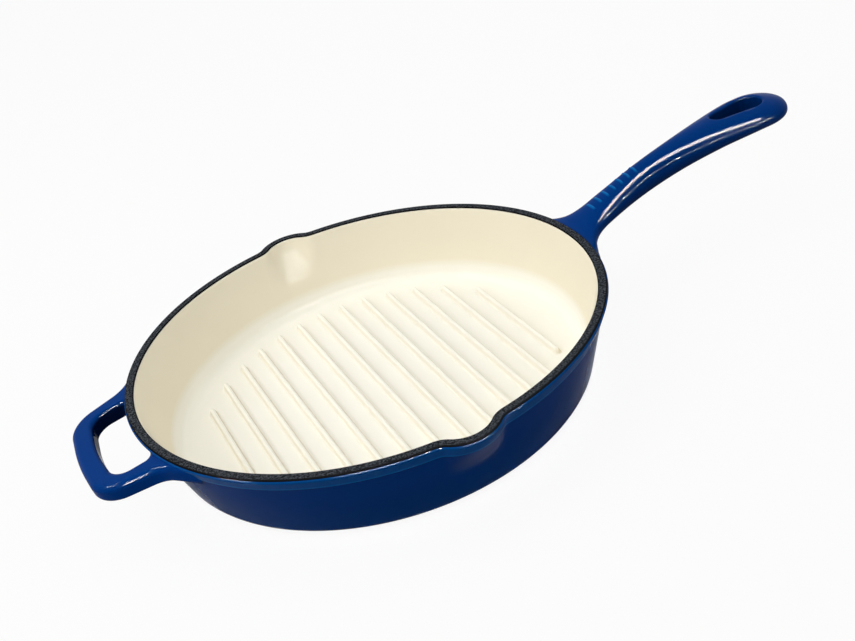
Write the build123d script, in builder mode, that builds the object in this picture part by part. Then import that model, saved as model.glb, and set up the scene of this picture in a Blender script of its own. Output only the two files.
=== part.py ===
"""Enamelled cast-iron grill pan: a round ribbed pan with two pouring lips, a long arched
handle with a hanging hole, and a loop-shaped helper handle opposite.

The iron is one casting in the real pan. Here it is kept as the bowl, its ribs and its two
handles, which meet face to face where they are cast together. Its charcoal ground coat stays
bare on the rim and the base. Over the rest lie the fired colour coats: cream inside, blue
outside and on both handles. Each colour coat thins out to its edge.

Origin: centre of the flat base. +X runs along the long handle, +Z is up. Millimetres.
"""

import math
import os

from build123d import *

# The bowl.
rim_radius = 130.0
rim_height = 47.2
rim_width = 5.3
wall_flare = 16.0
wall_thickness = 3.8
base_corner_radius = 12.0
floor_thickness = 5.5
floor_corner_radius = 7.0
corner_steps = 2
coat = 0.45

# The proud belt that runs round the wall under the rim.
belt_depth = 7.7
belt_proud = 0.9

# The bare rim's two bevelled edges. The colour coats end at their feet.
rim_bevel = 1.3
rim_inner_bevel = 0.7

# The two pouring lips, one on each side. Each grows out of the wall, and its ends are let
# into the wall by a seat so that the two meet in a clean line.
lip_reach = 7.0
lip_half_width = 18.9
lip_depth = 27.0
lip_seat = 0.35
lip_root = 9.0
lip_level_shares = (0.0, 0.25, 0.45, 0.65, 1.0)
lip_full_share = 0.85
outer_foot_share = 0.32
outer_crown_share = 0.53
inner_foot_share = 0.436
inner_crown_share = 0.475

# The ribs across the floor.
rib_pitch = 14.27
rib_width = 5.0
rib_height = 3.4
rib_margin = 19.3
rib_draft = 20.0
rib_end_cut = 1.5

# The long handle, by upright sections across it.
handle_reach = 152.0
handle_rise = 27.4
handle_root_drop = 1.7
handle_root_width = 76.0
handle_neck_width = 14.2
handle_paddle_width = 33.8
handle_root_thickness = 13.7
handle_thickness = 16.8
handle_tip_length = 20.0
handle_tip_drop = 4.5
handle_round_share = 0.42
handle_round_steps = 2

# Where each section stands, how wide it is between neck and root or paddle, how high the
# top line has risen, and how thick it is, all as shares.
flare_shares = (
    (-0.079, 1.0, 0.0, 0.0),
    (-0.02, 0.66, 0.0, 0.0),
    (0.007, 0.44, 0.015, 0.0),
    (0.04, 0.26, 0.09, 0.06),
    (0.086, 0.14, 0.21, 0.16),
    (0.15, 0.07, 0.36, 0.34),
)
grip_shares = (
    (0.315, 0.0, 0.66, 0.92),
    (0.486, 0.145, 0.85, 1.0),
    (0.658, 0.545, 0.965, 1.0),
    (0.79, 0.9, 1.0, 0.9),
)
tip_turns = (0.0, 35.0, 60.0, 80.0)

# The hanging hole, long and narrower towards the pan.
hole_length = 35.6
hole_tip_margin = 16.0
hole_wide_radius = 8.2
hole_narrow_radius = 4.8

# The shallow cross ridges on the neck.
ridge_count = 7
ridge_pitch = 5.0
ridge_start = 15.0
ridge_length = 6.5
ridge_width = 2.0
ridge_proud = 0.35

# The helper handle, drawn flat on a plane that leans down and outwards.
helper_reach = 28.4
helper_root_half_width = 58.0
helper_neck_half_width = 44.6
helper_neck_out = 2.0
helper_end_half_width = 37.2
helper_thickness = 9.5
helper_drop = 3.4
helper_lean = 6.8
helper_flare_radius = 14.0
helper_corner_radius = 13.0
helper_root_sink = 14.0
helper_root_cut = 3.0
helper_bar_width = 11.0
helper_bevel = 2.4
grip_hole_half_width = 30.5
grip_hole_corner_radius = 8.0
grip_hole_bevel = 0.7
grip_hole_wall_gap = 0.3

belt_bottom = rim_height - belt_depth
lip_bottom = rim_height - lip_depth
outer_rim_foot = rim_height - rim_bevel
inner_rim_foot = rim_height - rim_inner_bevel
base_radius = rim_radius - wall_flare
wall_slope = (wall_flare - belt_proud) / outer_rim_foot
floor_radius = base_radius + wall_slope * floor_thickness - wall_thickness
cavity_slope = (rim_radius - rim_width - floor_radius) / (inner_rim_foot - floor_thickness)
# A bevel of 45 degrees under a coat is this much of the coat shorter.
bevel_loss_share = 2 - math.sqrt(2)


def wall_radius(level, inset):
    """Radius of the wall's outer face at a level, moved in by inset square to the wall."""
    return base_radius + wall_slope * level - inset * math.hypot(1, wall_slope)


def cavity_radius(level, growth):
    """Radius of the hollow's wall at a level, moved out by growth square to the wall."""
    rise = level - floor_thickness
    return floor_radius + cavity_slope * rise + growth * math.hypot(1, cavity_slope)


def corner_points(radius, level, slope, corner_radius):
    """The rounded corner between a level floor and a sloping wall, in short straight steps."""
    turn = math.pi / 2 - math.atan(slope)
    centre = radius - corner_radius * math.tan(turn / 2)
    turns = [turn * step / corner_steps for step in range(corner_steps + 1)]
    return [
        (centre + corner_radius * math.sin(a), level + corner_radius * (1 - math.cos(a))) for a in turns
    ]


bare_corner = corner_points(wall_radius(0, 0), 0, wall_slope, base_corner_radius)


def lip_section(level, radius, half_width, foot_share, crown_share):
    """A level section of the lip at +Y on a wall of a given radius, with S-curved sides."""
    share = min((level - lip_bottom) / lip_depth / lip_full_share, 1.0)
    growth = share * share * (3 - 2 * share)
    seat = radius - lip_seat
    tip = seat + growth * (lip_reach + lip_seat)
    side = math.sqrt(seat**2 - half_width**2)
    foot = foot_share * half_width
    foot_x, foot_y = half_width - foot * side / seat, side + foot * half_width / seat
    crown = crown_share * half_width
    with BuildSketch(Plane.XY.offset(level)) as section:
        with BuildLine():
            Bezier((half_width, side), (foot_x, foot_y), (crown, tip), (0, tip))
            Bezier((-half_width, side), (-foot_x, foot_y), (-crown, tip), (0, tip))
            Polyline(
                (half_width, side),
                (half_width, side - lip_root),
                (-half_width, side - lip_root),
                (-half_width, side),
            )
        make_face()
    return section.sketch


def round_form(profile, lips, half_width, foot_share, crown_share):
    """A profile turned about the pan's axis, with a lip at each side from rows of sections."""
    with BuildPart() as form:
        with BuildSketch(Plane.XZ):
            with BuildLine():
                Polyline(*profile, (0, rim_height), close=True)
            make_face()
        revolve(axis=Axis.Z)
        for row in lips:
            loft(
                [lip_section(level, radius, half_width, foot_share, crown_share) for radius, level in row],
                ruled=True,
            )
        mirror(about=Plane.XZ)
    return form.part


def outside_form(inset):
    """The pan without its hollow and handles, moved in by inset where the blue coat lies."""
    flat, first, *_ = bare_corner
    wall_foot = corner_points(wall_radius(inset, inset), inset, wall_slope, base_corner_radius - inset)[-1]
    levels = [lip_bottom + share * (belt_bottom - lip_bottom) for share in lip_level_shares]
    wall = [(wall_radius(level, inset), level) for level in levels]
    rim_foot = wall_radius(outer_rim_foot, 0) + belt_proud
    # The iron has a sloping shoulder under the belt's square step.
    shoulder = wall[-1][0] if inset > 0 else wall[-1][0] + belt_proud
    belt = [(shoulder, belt_bottom), (rim_foot, outer_rim_foot), (rim_foot - rim_bevel, rim_height)]
    profile = [(0, 0), flat, first, wall_foot, wall[-1], *belt[1 if inset > 0 else 0 :]]
    return round_form(profile, (wall, belt), lip_half_width, outer_foot_share, outer_crown_share)


def cavity_form(growth):
    """The hollow of the pan, moved out by growth at the floor and less and less up the wall."""
    floor_level = floor_thickness - growth
    foot_radius = cavity_radius(floor_level, growth)
    corner = corner_points(foot_radius, floor_level, cavity_slope, floor_corner_radius + growth)
    low_radius, low = corner[-1]
    high_radius = cavity_radius(inner_rim_foot, 0)
    taper = (high_radius - low_radius) / (inner_rim_foot - low)
    levels = [lip_bottom + share * (inner_rim_foot - lip_bottom) for share in lip_level_shares]
    wall = [(low_radius + taper * (level - low), level) for level in levels]
    wall.append((high_radius + rim_inner_bevel, rim_height))
    half_width = lip_half_width * (rim_radius - rim_width) / rim_radius
    return round_form([(0, floor_level), *corner, *wall[-2:]], (wall,), half_width, inner_foot_share, inner_crown_share)


def rib_form(inset):
    """All the ribs that fit the floor, moved in by inset at their sides, ends and crests."""
    lean = math.tan(math.radians(rib_draft))
    foot_level = floor_thickness - coat
    field_radius = floor_radius - rib_margin
    ribs_a_side = int((field_radius - rib_width) / rib_pitch)
    spread = coat * lean - inset * math.hypot(1, lean)
    with BuildPart() as form:
        with BuildSketch(Plane.XY.offset(foot_level)):
            for number in range(-ribs_a_side, ribs_a_side + 1):
                across = number * rib_pitch
                half_length = math.sqrt(field_radius**2 - across**2)
                with Locations((across, 0)):
                    Rectangle(rib_width + 2 * spread, 2 * (half_length + spread))
            chamfer(vertices(), rib_end_cut)
        extrude(amount=rib_height + coat - inset, taper=rib_draft)
    return form.part


def handle_top(rise_share):
    """Height of the handle's top line for a share of its rise above the rim."""
    return rim_height - handle_root_drop + rise_share * (handle_rise + handle_root_drop)


def handle_section(along, width, top, thickness, inset):
    """Corners of one upright section across the long handle, each rounded in short steps."""
    rounding = handle_round_share * min(width, thickness) - inset
    half_width, half_height = width / 2 - inset - rounding, thickness / 2 - inset - rounding
    turns = [math.pi / 2 * step / handle_round_steps for step in range(handle_round_steps + 1)]
    return [
        (
            along,
            hand * (half_width + rounding * math.cos(turn)),
            top - thickness / 2 + way * (half_height + rounding * math.sin(turn)),
        )
        for hand in (-1, 1)
        for way in (-1, 1)
        for turn in turns
    ]


def handle_sizes():
    """Place, width, top and thickness of every section from inside the wall to the tip."""
    sizes = []
    for table, wide, thin in (
        (flare_shares, handle_root_width, handle_root_thickness),
        (grip_shares, handle_paddle_width, 0),
    ):
        for along_share, width_share, rise_share, thick_share in table:
            sizes.append(
                (
                    rim_radius + along_share * handle_reach,
                    handle_neck_width + width_share * (wide - handle_neck_width),
                    handle_top(rise_share),
                    thin + thick_share * (handle_thickness - thin),
                )
            )
    tip_start = rim_radius + handle_reach - handle_tip_length
    end_thickness = sizes[-1][3]
    for turn in tip_turns:
        out, left = math.sin(math.radians(turn)), math.cos(math.radians(turn))
        thickness = end_thickness * math.sqrt(left)
        middle = handle_top(1) - end_thickness / 2 - handle_tip_drop * out**2
        sizes.append(
            (
                tip_start + handle_tip_length * out / math.sin(math.radians(tip_turns[-1])),
                handle_paddle_width * left,
                middle + thickness / 2,
                thickness,
            )
        )
    return sizes


def handle_form(inset):
    """The long handle from inside the wall to its tip, moved in by inset, with its hole."""
    *sizes, (tip, *tip_sizes) = handle_sizes()
    sizes.append((tip - inset, *tip_sizes))
    wide_end = rim_radius + handle_reach - hole_tip_margin - hole_wide_radius
    narrow_end = rim_radius + handle_reach - hole_tip_margin - hole_length + hole_narrow_radius
    with BuildPart() as form:
        for near, far in zip(sizes, sizes[1:]):
            ConvexPolyhedron(handle_section(*near, inset) + handle_section(*far, inset))
        with BuildSketch(Plane.XY.offset(handle_top(1))):
            with Locations((wide_end, 0)):
                Circle(hole_wide_radius + inset)
            with Locations((narrow_end, 0)):
                Circle(hole_narrow_radius + inset)
            make_hull()
        extrude(amount=handle_thickness + handle_rise, both=True, mode=Mode.SUBTRACT)
    return form.part


def helper_form(inset):
    """The helper handle's loop from inside the wall outwards, moved in by inset."""
    lean = math.radians(helper_lean)
    top = Plane(
        origin=(-rim_radius, 0, rim_height - helper_drop),
        x_dir=(math.cos(lean), 0, math.sin(lean)),
        z_dir=(-math.sin(lean), 0, math.cos(lean)),
    )
    half_outline = (
        (helper_root_sink, helper_root_half_width, helper_root_cut),
        (-helper_neck_out, helper_neck_half_width, helper_flare_radius),
        (-helper_reach, helper_end_half_width, helper_corner_radius),
    )
    corners = [(x, -y) for x, y, radius in half_outline] + [(x, y) for x, y, radius in half_outline[::-1]]
    radii = [radius for x, y, radius in half_outline + half_outline[::-1]]
    bar_end = helper_bar_width - helper_reach
    with BuildPart() as form:
        with BuildSketch(top.offset(-inset)):
            with BuildLine():
                FilletPolyline(*corners, radius=radii, close=True)
            make_face()
            offset(amount=-inset, mode=Mode.REPLACE)
        extrude(amount=2 * inset - helper_thickness)
        with BuildSketch(top):
            with Locations(((helper_root_sink + bar_end) / 2, 0)):
                Rectangle(helper_root_sink - bar_end, 2 * grip_hole_half_width)
            with Locations((rim_radius, 0)):
                Circle(rim_radius + grip_hole_wall_gap, mode=Mode.SUBTRACT)
            fillet(vertices(), grip_hole_corner_radius)
            offset(amount=inset, mode=Mode.REPLACE)
        extrude(amount=helper_thickness, both=True, mode=Mode.SUBTRACT)
        flats = form.faces().filter_by(Axis(top.origin, top.z_dir))
        outer_bevel = helper_bevel - bevel_loss_share * inset
        chamfer([edge for face in flats for edge in face.outer_wire().edges()], outer_bevel)
        if inset == 0:
            flats = form.faces().filter_by(Axis(top.origin, top.z_dir))
            hole_wires = [wire for face in flats for wire in face.inner_wires()]
            chamfer([edge for wire in hole_wires for edge in wire.edges()], grip_hole_bevel)
    return form.part


def save(piece, name):
    """Name a finished piece and write it to its own file."""
    piece.part.label = name
    export_step(piece.part, f"parts/{name}.step")
    print(name, len(piece.part.solids()), "solids", round(piece.part.volume), "mm3", piece.part.is_valid)


pan_skin, pan_core = outside_form(0), outside_form(coat)
hollow_skin, hollow_core = cavity_form(0), cavity_form(coat)
rib_skin, rib_core = rib_form(0), rib_form(coat)
handle_skin, handle_core = handle_form(0), handle_form(coat)
ridge_skin = handle_form(-ridge_proud)
helper_skin, helper_core = helper_form(0), helper_form(coat)

# The iron casting: its bowl, its ribs, and the two handles cast in one with it.
with BuildPart() as pan_body:
    add(pan_core)
    add(hollow_core, mode=Mode.SUBTRACT)

with BuildPart() as grill_ribs:
    add(rib_core)

with BuildPart() as long_handle:
    add(handle_core)
    add(pan_core, mode=Mode.SUBTRACT)

with BuildPart() as helper_handle:
    add(helper_core)
    add(pan_core, mode=Mode.SUBTRACT)

# The band of the pan above the blue coat, out of which the long handle's root just rises.
with BuildPart() as rim_band:
    add(pan_skin)
    split(bisect_by=Plane.XY.offset(outer_rim_foot), keep=Keep.TOP)

# The fired colour coats.
with BuildPart() as interior_enamel:
    add(hollow_core)
    split(bisect_by=Plane.XY.offset(inner_rim_foot), keep=Keep.BOTTOM)
    add(hollow_skin, mode=Mode.SUBTRACT)
    add(rib_skin)
    add(rib_core, mode=Mode.SUBTRACT)

with BuildPart() as exterior_enamel:
    with Locations(*[(rim_radius + ridge_start + n * ridge_pitch, 0, rim_height) for n in range(ridge_count)]):
        Box(ridge_width, ridge_length, 2 * handle_rise, align=(Align.CENTER, Align.CENTER, Align.MIN))
    add(ridge_skin, mode=Mode.INTERSECT)
    add(handle_skin)
    add(helper_skin)
    add(pan_skin)
    split(bisect_by=Plane.XY.offset(bare_corner[1][1]), keep=Keep.TOP)
    add(rim_band.part, mode=Mode.SUBTRACT)
    add(pan_core, mode=Mode.SUBTRACT)
    add(handle_core, mode=Mode.SUBTRACT)
    add(helper_core, mode=Mode.SUBTRACT)

os.makedirs("parts", exist_ok=True)
save(pan_body, "pan_body")
save(grill_ribs, "grill_ribs")
save(long_handle, "long_handle")
save(helper_handle, "helper_handle")
save(interior_enamel, "interior_enamel")
save(exterior_enamel, "exterior_enamel")
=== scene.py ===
"""Scene for an enamelled cast-iron grill pan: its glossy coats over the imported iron.

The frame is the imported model, in metres: the origin is the centre of the flat base, +X runs
along the long handle and +Z is up. Each operator below adds one piece, and main() calls them
in order.
"""

import math

import bmesh
import bpy
from bpy.props import FloatProperty, FloatVectorProperty, IntProperty, PointerProperty
from mathutils import Matrix, Vector


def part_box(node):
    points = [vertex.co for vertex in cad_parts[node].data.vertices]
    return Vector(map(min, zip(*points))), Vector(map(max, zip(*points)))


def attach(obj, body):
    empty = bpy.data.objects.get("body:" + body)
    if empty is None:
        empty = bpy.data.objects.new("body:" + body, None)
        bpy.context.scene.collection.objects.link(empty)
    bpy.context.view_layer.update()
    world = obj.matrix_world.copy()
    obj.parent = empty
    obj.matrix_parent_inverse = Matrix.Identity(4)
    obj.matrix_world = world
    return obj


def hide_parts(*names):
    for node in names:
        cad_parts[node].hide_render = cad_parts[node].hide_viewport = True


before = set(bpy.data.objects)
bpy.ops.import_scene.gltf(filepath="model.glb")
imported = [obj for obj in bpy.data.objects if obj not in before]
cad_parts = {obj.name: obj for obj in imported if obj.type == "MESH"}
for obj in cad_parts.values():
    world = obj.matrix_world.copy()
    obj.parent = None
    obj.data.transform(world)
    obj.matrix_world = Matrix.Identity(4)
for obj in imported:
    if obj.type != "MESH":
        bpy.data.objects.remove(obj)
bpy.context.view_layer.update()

bl_info = {
    "name": "Enamelled Grill Pan",
    "version": (1, 0, 0),
    "blender": (4, 5, 0),
    "location": "View3D > Sidebar > Grill Pan",
    "description": "Adds the enamel coats, ribs, handles and studio of a cast-iron grill pan",
    "category": "Add Mesh",
}

MM = 0.001
PAN_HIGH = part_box("pan_body")[1]
COAT_LOW, COAT_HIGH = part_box("exterior_enamel")
ROOT = "root"


def linear(hex_colour):
    """An sRGB hex colour as linear values with full alpha."""
    channels = [int(hex_colour[i : i + 2], 16) / 255 for i in (1, 3, 5)]
    curve = [c / 12.92 if c <= 0.04045 else ((c + 0.055) / 1.055) ** 2.4 for c in channels]
    return (*curve, 1.0)


# The settings: each has its name, its description and its default.


def a_length(name, description, metres):
    """A setting that holds a length."""
    return FloatProperty(name=name, description=description, default=metres, unit="LENGTH")


def an_angle(name, description, degrees):
    """A setting that holds an angle."""
    angle = math.radians(degrees)
    return FloatProperty(name=name, description=description, default=angle, subtype="ANGLE")


def a_colour(name, description, hex_colour):
    """A setting that holds a colour."""
    return FloatVectorProperty(
        name=name, description=description, default=linear(hex_colour), size=4, subtype="COLOR"
    )


class BowlSettings(bpy.types.PropertyGroup):
    """Sizes of the bowl, its belt, its rim, its lips and its ribs."""

    rim_radius: a_length("Rim radius", "Outer radius of the rim", PAN_HIGH[0])
    rim_height: a_length("Rim height", "Height of the rim above the base", PAN_HIGH[2])
    rim_width: a_length("Rim width", "Width of the rim's face", 5.3 * MM)
    rim_wrap: a_length("Rim wrap", "How far the bare rim comes down outside", 1.0 * MM)
    rim_inset: a_length("Rim inset", "How far the bare rim lies behind the belt", 0.5 * MM)
    shoulder: a_length("Shoulder", "Radius of the belt's upper edge", 0.9 * MM)
    rim_inner_wrap: a_length("Inner rim wrap", "How far the bare rim comes down inside", 0.9 * MM)
    rim_round: a_length("Rim rounding", "Radius of the rim's outer edge", 0.9 * MM)
    rim_inner_round: a_length("Inner rim rounding", "Radius of the rim's inner edge", 0.7 * MM)
    wall_flare: a_length(
        "Wall flare", "How much wider the rim is than the foot of the wall", 16 * MM
    )
    wall_thickness: a_length("Wall thickness", "Iron and coats at the foot of the wall", 3.8 * MM)
    base_corner: a_length("Base corner", "Radius of the corner under the wall", 10 * MM)
    base_bare: a_length("Bare base", "How far the bare base comes up its corner", COAT_LOW[2])
    belt_depth: a_length("Belt depth", "From the rim down to the belt's edge", 7.7 * MM)
    belt_proud: a_length("Belt proud", "How far the belt stands out of the wall", 0.9 * MM)
    belt_round: a_length("Belt rounding", "Radius of the belt's lower edge", 0.6 * MM)
    floor_thickness: a_length("Floor thickness", "Iron and coats under the floor", 5.5 * MM)
    floor_corner: a_length("Floor corner", "Radius of the corner inside", 7 * MM)
    lip_tip_radius: a_length("Lip tip radius", "Radius of a lip's round tip", 20 * MM)
    lip_fillet: a_length("Lip fillet", "Radius where a lip runs into the rim", 8 * MM)
    lip_reach: a_length("Lip reach", "How far a lip stands out of the rim", 7 * MM)
    lip_depth: a_length("Lip depth", "How far down the wall a lip begins", 27 * MM)
    lip_full_share: FloatProperty(
        name="Lip full share",
        description="Share of its height at which a lip is full",
        default=0.85,
        subtype="FACTOR",
    )
    coat: a_length("Coat", "Thickness of the colour coats", 0.45 * MM)
    rib_pitch: a_length("Rib pitch", "From one rib to the next", 14.27 * MM)
    rib_height: a_length("Rib height", "Height of a rib above the floor", 3.4 * MM)
    rib_crest: a_length("Rib crest", "Radius of a rib's rounded crest", 1.35 * MM)
    rib_foot: a_length("Rib foot", "Radius where a rib runs into the floor", 0.8 * MM)
    rib_draft: an_angle("Rib draft", "Lean of a rib's sides", 14)
    rib_margin: a_length("Rib margin", "From the rib ends to the foot of the wall", 14 * MM)
    ribs_a_side: IntProperty(
        name="Ribs a side", description="Ribs on each side of the middle one", default=6
    )


class HandleSettings(bpy.types.PropertyGroup):
    """Sizes of the long handle and its hanging hole."""

    reach: a_length("Reach", "From the rim to the tip", COAT_HIGH[0] - PAN_HIGH[0] - 3.2 * MM)
    rise: a_length("Rise", "How far the top stands above the rim", COAT_HIGH[2] - PAN_HIGH[2])
    root_drop: a_length("Root drop", "How far the root's top lies under the rim", 0.9 * MM)
    root_width: a_length("Root width", "Width of the flare where it starts", 79 * MM)
    neck_width: a_length("Neck width", "Least width of the grip", 15 * MM)
    paddle_width: a_length("Paddle width", "Most width near the tip", 36.2 * MM)
    root_thickness: a_length("Root thickness", "Height of the root at the wall", 13.7 * MM)
    thickness: a_length("Thickness", "Height of the grip", 17.5 * MM)
    tip_length: a_length("Tip length", "Length of the rounded tip", 20 * MM)
    tip_drop: a_length("Tip drop", "How far the tip's middle drops", 0.8 * MM)
    fullness: FloatProperty(
        name="Fullness", description="2 is an oval section, more is squarer", default=2.15, min=2
    )
    hole_length: a_length("Hole length", "Length of the hanging hole", 33.6 * MM)
    hole_margin: a_length("Hole margin", "From the hole to the tip", 14.8 * MM)
    hole_wide: a_length("Hole wide end", "Radius of the hole's outer end", 8.2 * MM)
    hole_narrow: a_length("Hole narrow end", "Radius of the hole's inner end", 4.8 * MM)
    hole_round: a_length("Hole rounding", "Radius of the hole's edges", 1.6 * MM)
    ridge_count: IntProperty(name="Ridges", description="Cross ridges on the neck", default=7)
    ridge_pitch: a_length("Ridge pitch", "From one ridge to the next", 5 * MM)
    ridge_start: a_length("Ridge start", "From the rim to the first ridge", 15 * MM)
    ridge_width: a_length("Ridge width", "Width of a ridge along the handle", 2 * MM)
    ridge_length: a_length("Ridge length", "Length of a ridge across the handle", 8.5 * MM)
    ridge_proud: a_length("Ridge proud", "Height of a ridge", 0.5 * MM)


class HelperSettings(bpy.types.PropertyGroup):
    """Sizes of the loop-shaped helper handle."""

    reach: a_length("Reach", "From the rim to the outer edge", 29.5 * MM)
    root_half_width: a_length("Root half width", "Half the width inside the wall", 61.5 * MM)
    root_sink: a_length("Root sink", "How far the root reaches back from the rim", 18 * MM)
    neck_half_width: a_length("Neck half width", "Half the width where the flare turns", 43.6 * MM)
    neck_back: a_length("Neck back", "How far behind the rim's edge the flare turns", 3 * MM)
    end_half_width: a_length("End half width", "Half the width at the outer edge", 37.2 * MM)
    end_bow: a_length("End bow", "How far the outer edge bows out", 1.6 * MM)
    thickness: a_length("Thickness", "Height of the bar", 9.5 * MM)
    drop: a_length("Drop", "How far the top lies under the rim", 3.4 * MM)
    lean: an_angle("Lean", "How the loop slopes down outwards", 6.8)
    flare_radius: a_length("Flare radius", "Radius where the arms run into the wall", 16 * MM)
    corner_radius: a_length("Corner radius", "Radius of the outer corners", 18 * MM)
    edge_round: a_length("Edge rounding", "Radius of the outer edges", 3.2 * MM)
    bar_width: a_length("Bar width", "Width of the outer bar", 11 * MM)
    hole_half_width: a_length("Hole half width", "Half the width of the finger opening", 31 * MM)
    hole_corner: a_length("Hole corner", "Radius of the opening's corners", 11.5 * MM)
    hole_round: a_length("Hole rounding", "Radius of the opening's edges", 2 * MM)


class FinishSettings(bpy.types.PropertyGroup):
    """Colours of the three coats."""

    blue: a_colour("Blue", "Cobalt-blue coat", "#00357b")
    # Darker towards the base.
    blue_deep: a_colour("Deep blue", "Blue coat where it lies thick", "#003672")
    # Painted highlight on the belt, and the ridges' thinner coat, partly painted highlight.
    blue_thin_and_highlight: a_colour("Thin blue", "Blue coat where it breaks thin", "#0a6ab0")
    # Painted shade.
    blue_shade: a_colour("Pooled blue", "Blue coat where it pools", "#001437")
    cream: a_colour("Cream", "Cream coat", "#fbf9ee")
    # Painted shade on the wall.
    cream_wall_shade: a_colour("Deep cream", "Cream coat drained thin on the wall", "#f3ebd5")
    # Painted shade down the ribs' sides.
    cream_rib_shade: a_colour("Thin cream", "Cream coat broken thin on the ribs", "#dccfb3")
    charcoal: a_colour("Charcoal", "Bare ground coat", "#4c5157")
    # Black on the rim's rounded edges.
    charcoal_edge: a_colour("Fired black", "Ground coat on the rounded edges", "#0a0b0d")
    charcoal_deep: a_colour("Deep charcoal", "Pits in the ground coat", "#15171b")


class StudioSettings(bpy.types.PropertyGroup):
    """Where the studio's camera stands and how it looks."""

    lens: FloatProperty(name="Lens", description="Focal length in millimetres", default=49.475)
    azimuth: an_angle("Azimuth", "Way the camera looks, from +Y towards +X", 17.88)
    elevation: an_angle("Elevation", "How far down the camera looks", 29.82)
    roll: an_angle("Roll", "Tilt of the camera about its own axis", -15.5)
    distance: a_length("Distance", "From the camera to the point it looks at", 619.6 * MM)
    target: FloatVectorProperty(
        name="Target",
        description="Point the camera looks at",
        default=(30.25 * MM, -14.8 * MM, 38.83 * MM),
        unit="LENGTH",
    )


# Shares along the long handle: how far along it a section stands, how wide it is between the
# neck and the root or the paddle, how far the top has risen, and how thick it is.
ROOT_SHARES = (
    (-0.079, 1.0, 0.0, 0.0),
    (-0.045, 0.92, 0.0, 0.0),
    (-0.02, 0.84, 0.0, 0.0),
    (0.007, 0.58, 0.015, 0.02),
    (0.04, 0.31, 0.09, 0.12),
    (0.086, 0.145, 0.21, 0.3),
    (0.15, 0.07, 0.36, 0.6),
)
GRIP_SHARES = (
    (0.315, 0.0, 0.66, 1.04),
    (0.486, 0.145, 0.85, 1.05),
    (0.658, 0.545, 0.965, 1.02),
    (0.79, 0.93, 1.0, 0.95),
    (0.87, 1.0, 1.0, 0.92),
    (1.0, 1.0, 0.985, 0.9),
)


# Shared geometry.


def between(start, end, steps):
    """Numbers from start to end in even steps, with both of them."""
    return [start + (end - start) * n / steps for n in range(steps + 1)]


def arc(centre, radius, start, end, steps):
    """Points on an arc in a profile, from one angle to another in degrees, ends included."""
    angles = [math.radians(angle) for angle in between(start, end, steps)]
    return [(centre[0] + radius * math.cos(a), centre[1] + radius * math.sin(a)) for a in angles]


def edge_points(radius, steps=8):
    """Points over a rounded edge, from its face to its side: (inset, depth)."""
    bends = [math.radians(angle) for angle in between(0, 90, steps)]
    return [(radius * (1 - math.sin(b)), radius * (1 - math.cos(b))) for b in bends]


def add_skin(bm, rows):
    """Faces between rows of vertices, that look to the right of each row's way."""
    for row, after in zip(rows, rows[1:]):
        for j in range(len(row) - 1):
            bm.faces.new((row[j], after[j], after[j + 1], row[j + 1]))


def add_tube(bm, rings):
    """Faces between closed rings of vertices, each joined to the next."""
    for ring, after in zip(rings, rings[1:]):
        for j in range(len(ring)):
            k = (j + 1) % len(ring)
            bm.faces.new((ring[j], ring[k], after[k], after[j]))


def finished_mesh(name, bm, closed=False):
    """Welds and smooths a mesh under way, and hands it over."""
    weld, sliver = 0.01 * MM, 0.001 * MM
    bmesh.ops.remove_doubles(bm, verts=bm.verts, dist=weld)
    bmesh.ops.dissolve_degenerate(bm, edges=bm.edges, dist=sliver)
    if closed:
        bmesh.ops.recalc_face_normals(bm, faces=bm.faces)
    for face in bm.faces:
        face.smooth = True
    mesh = bpy.data.meshes.new(name)
    bm.to_mesh(mesh)
    bm.free()
    if not mesh.polygons:
        raise RuntimeError(name + " has no faces")
    return mesh


def turned_mesh(name, profile, bowl):
    """A smooth mesh of a profile turned about the axis, with the lips pushed out."""
    bm = bmesh.new()
    rows = [[bm.verts.new(point) for point in row] for row in turned_rows(profile, bowl)]
    add_skin(bm, rows + rows[:1])
    return finished_mesh(name, bm)


def mark_points(mesh, name, share):
    """Writes on each point of a mesh the share of a colour laid over it, for the materials: painted
    shade, painted highlight, a thinner coat, a black edge.
    """
    marks = mesh.attributes.new(name, "FLOAT", "POINT")
    for vert, mark in zip(mesh.vertices, marks.data):
        mark.value = share(vert.co)


def new_object(name, data):
    """An object in the scene for a mesh, a light or a camera."""
    made = bpy.data.objects.new(name, data)
    bpy.context.scene.collection.objects.link(made)
    return made


def add_piece(mesh, maker, nodes=(), depth=0.0):
    """An object for a mesh, with a maker's material, that rides on the pan.

    An open skin gets a depth, the thickness of its coat, away from its shown side.
    """
    piece = new_object(mesh.name, mesh)
    piece.data.materials.append(finish_for(maker))
    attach(piece, ROOT)
    if nodes:
        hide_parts(*nodes)
    if depth:
        solidify = piece.modifiers.new("Coat depth", "SOLIDIFY")
        solidify.thickness = depth
        solidify.offset = -1
        solidify.use_even_offset = True
    return piece


def outline_radius(angle, bowl, inset):
    """Distance from the axis to the rim's outline, for the outline inset from its outer edge."""
    ring = bowl.rim_radius - inset
    tip = bowl.lip_tip_radius - inset
    fillet = bowl.lip_fillet + inset
    centre = bowl.rim_radius + bowl.lip_reach - bowl.lip_tip_radius
    off = abs(math.pi / 2 - abs(math.remainder(angle, 2 * math.pi)))
    reach, span = ring + fillet, tip + fillet
    edge = math.acos((reach**2 + centre**2 - span**2) / (2 * reach * centre))
    across, along = reach * math.sin(edge), reach * math.cos(edge) - centre
    turn = math.atan2(tip / span * across, centre + tip / span * along)
    if off >= edge:
        return ring
    if off >= turn:
        aside = reach * math.sin(edge - off)
        return reach * math.cos(edge - off) - math.sqrt(fillet**2 - aside**2)
    return centre * math.cos(off) + math.sqrt(tip**2 - (centre * math.sin(off)) ** 2)


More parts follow.
